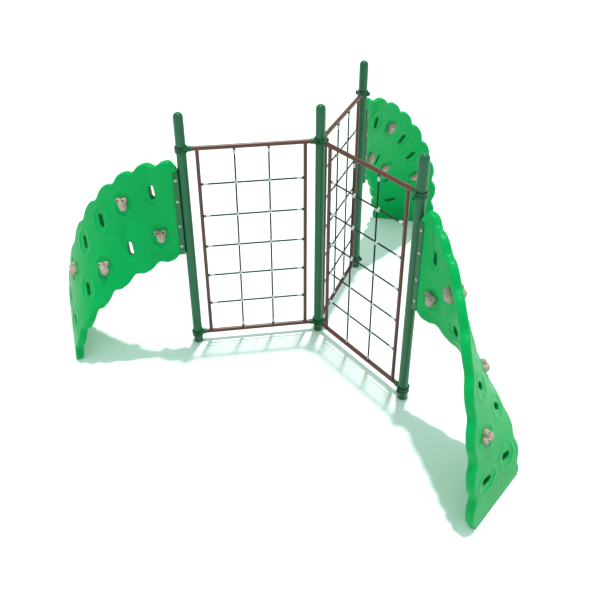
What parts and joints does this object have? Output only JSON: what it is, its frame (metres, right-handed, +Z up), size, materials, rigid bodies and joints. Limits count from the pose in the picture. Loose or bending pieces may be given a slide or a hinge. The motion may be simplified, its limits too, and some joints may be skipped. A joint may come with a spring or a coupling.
{
  "type": "rock climbing wall",
  "caption": "Playground climbing structure with rope nets in steel frames between posts, and twisted moulded climbing walls with hand slots and bolted rock holds.",
  "frame": {"origin": "the hub post's axis at ground level, where its tube opens downwards", "axes": "+Z up along the hub post, which is the structure's threefold axis; one arm along -X, the other two at 60 and 300 degrees from +X"},
  "size_m": [4.3945, 4.7312, 2.4964],
  "materials": {
    "post_paint": "semi-gloss powder coat, forest green",
    "clamp_paint": "semi-gloss powder coat, darker green",
    "bracket_paint": "semi-gloss powder coat, forest green",
    "frame_paint": "semi-gloss powder coat, brown",
    "wall_plastic": "rotationally moulded polyethylene, bright green, fine satin texture",
    "rope": "braided steel-core polyester rope, near black",
    "connector": "moulded light grey fittings",
    "anchor": "dark brown painted cup",
    "rock": "cast resin rock, sandy grey",
    "bolt_plain": "zinc-plated dome heads",
    "bolt_painted": "green painted",
    "bolt_dark": "dark zinc"
  },
  "bodies": {
    "root": {"hub_post": "post_paint", "hub_cap": "post_paint", "hub_clamp_bottom_left": "clamp_paint", "hub_clamp_bottom_back": "clamp_paint", "hub_clamp_bottom_right": "clamp_paint", "hub_clamp_top_left": "clamp_paint", "hub_clamp_top_back": "clamp_paint", "hub_clamp_top_right": "clamp_paint", "post_left": "post_paint", "cap_left": "post_paint", "socket_clamp_bottom_left": "clamp_paint", "strap_clamp_bottom_left": "clamp_paint", "bottom_rail_left": "frame_paint", "socket_clamp_top_left": "clamp_paint", "strap_clamp_top_left": "clamp_paint", "top_rail_left": "frame_paint", "inner_stile_left": "frame_paint", "outer_stile_left": "frame_paint", "horizontal_ropes_left": "rope", "vertical_ropes_left": "rope", "wall_bracket_left": "bracket_paint", "climbing_wall_left": "wall_plastic", "rock_holds_left": "rock", "post_back": "post_paint", "cap_back": "post_paint", "socket_clamp_bottom_back": "clamp_paint", "strap_clamp_bottom_back": "clamp_paint", "bottom_rail_back": "frame_paint", "socket_clamp_top_back": "clamp_paint", "strap_clamp_top_back": "clamp_paint", "top_rail_back": "frame_paint", "inner_stile_back": "frame_paint", "outer_stile_back": "frame_paint", "horizontal_ropes_back": "rope", "vertical_ropes_back": "rope", "wall_bracket_back": "bracket_paint", "climbing_wall_back": "wall_plastic", "rock_holds_back": "rock", "post_right": "post_paint", "cap_right": "post_paint", "socket_clamp_bottom_right": "clamp_paint", "strap_clamp_bottom_right": "clamp_paint", "bottom_rail_right": "frame_paint", "socket_clamp_top_right": "clamp_paint", "strap_clamp_top_right": "clamp_paint", "top_rail_right": "frame_paint", "inner_stile_right": "frame_paint", "outer_stile_right": "frame_paint", "horizontal_ropes_right": "rope", "vertical_ropes_right": "rope", "wall_bracket_right": "bracket_paint", "climbing_wall_right": "wall_plastic", "rock_holds_right": "rock", "clamp_bolts": "bolt_painted", "bracket_bolts": "bolt_plain", "hold_bolts": "bolt_dark", "rope_anchors": "anchor", "rope_ferrules": "connector", "rope_connectors": "connector"}
  },
  "joints": []
}
